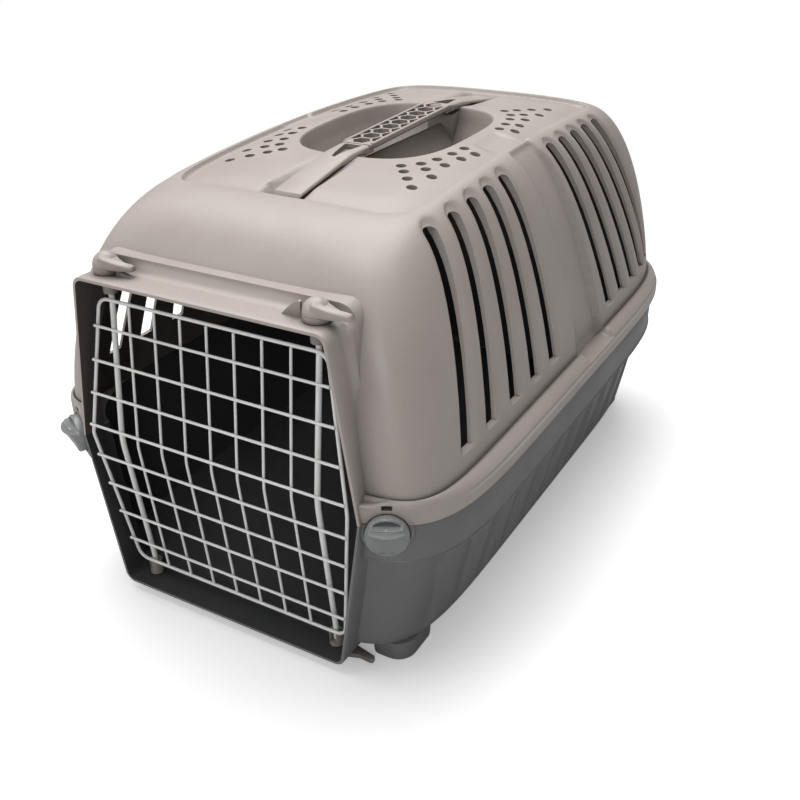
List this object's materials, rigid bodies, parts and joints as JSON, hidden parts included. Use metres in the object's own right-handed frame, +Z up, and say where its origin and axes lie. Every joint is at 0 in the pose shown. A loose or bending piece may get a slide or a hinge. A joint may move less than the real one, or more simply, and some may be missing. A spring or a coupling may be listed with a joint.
{
  "type": "pet transport carrier",
  "caption": "Two-shell moulded plastic pet carrier with vent slots, a bowed wire front door on pivot rods, turn levers, rotary shell latches and a snap-in top handle.",
  "frame": {"origin": "on the resting plane under the feet, at the centre of the carrier's length and width", "axes": "+Z up; -Y towards the wire door, +Y towards the closed rear end; +X to the right for someone facing the door"},
  "size_m": [0.3644, 0.5502, 0.3363],
  "materials": {
    "top_plastic": "warm grey-brown injection-moulded polypropylene, fine satin texture",
    "base_plastic": "dark grey injection-moulded polypropylene, fine satin texture",
    "latch_plastic": "smooth pale grey, slightly translucent",
    "cup_plastic": "natural beige-grey, smooth",
    "wire": "white powder-coated steel wire"
  },
  "bodies": {
    "base": {"base_shell": "base_plastic"},
    "top": {"top_shell": "top_plastic", "carry_handle": "top_plastic"},
    "door": {"door_frame_wire": "wire", "door_upright_1": "wire", "door_upright_2": "wire", "door_upright_3": "wire", "door_upright_4": "wire", "door_upright_5": "wire", "door_upright_6": "wire", "door_upright_7": "wire", "door_crossbar_1": "wire", "door_crossbar_2": "wire", "door_crossbar_3": "wire", "door_crossbar_4": "wire", "door_crossbar_5": "wire", "door_crossbar_6": "wire", "door_crossbar_7": "wire", "door_crossbar_8": "wire", "door_rod_left": "wire", "door_rod_right": "wire"},
    "lever_top_right": {"door_lever_top_right": "top_plastic", "pin_cup_top_right": "cup_plastic"},
    "lever_top_left": {"door_lever_top_left": "top_plastic", "pin_cup_top_left": "cup_plastic"},
    "lever_bottom_right": {"door_lever_bottom_right": "top_plastic", "pin_cup_bottom_right": "cup_plastic"},
    "lever_bottom_left": {"door_lever_bottom_left": "top_plastic", "pin_cup_bottom_left": "cup_plastic"},
    "latch_left": {"latch_knob_left": "latch_plastic", "latch_cam_left": "cup_plastic"},
    "latch_right": {"latch_knob_right": "latch_plastic", "latch_cam_right": "cup_plastic"}
  },
  "joints": [
    {"name": "top_lift", "type": "slide", "parent": "base", "child": "top", "axis": [0, 0, 1], "range_m": [0, 0.2]},
    {"name": "door_swing", "type": "hinge", "parent": "base", "child": "door", "pos_m": [-0.0885, -0.2555, 0.14], "axis": [0, 0, -1], "range_deg": [0, 110]},
    {"name": "lever_top_right_turn", "type": "hinge", "parent": "top", "child": "lever_top_right", "pos_m": [0.0885, -0.2555, 0.278], "axis": [0, 0, 1], "range_deg": [-95, 0]},
    {"name": "lever_top_left_turn", "type": "hinge", "parent": "top", "child": "lever_top_left", "pos_m": [-0.0885, -0.2555, 0.278], "axis": [0, 0, 1], "range_deg": [-95, 0]},
    {"name": "lever_bottom_right_turn", "type": "hinge", "parent": "base", "child": "lever_bottom_right", "pos_m": [0.0885, -0.2555, 0.004], "axis": [0, 0, 1], "range_deg": [-90, 0]},
    {"name": "lever_bottom_left_turn", "type": "hinge", "parent": "base", "child": "lever_bottom_left", "pos_m": [-0.0885, -0.2555, 0.004], "axis": [0, 0, 1], "range_deg": [-65, 0]},
    {"name": "latch_left_turn", "type": "hinge", "parent": "base", "child": "latch_left", "pos_m": [-0.1422, -0.2676, 0.1332], "axis": [-0.4695, -0.8829, 0], "range_deg": [-90, 0]},
    {"name": "latch_right_turn", "type": "hinge", "parent": "base", "child": "latch_right", "pos_m": [0.1422, -0.2676, 0.1332], "axis": [0.4695, -0.8829, 0], "range_deg": [0, 90]}
  ]
}
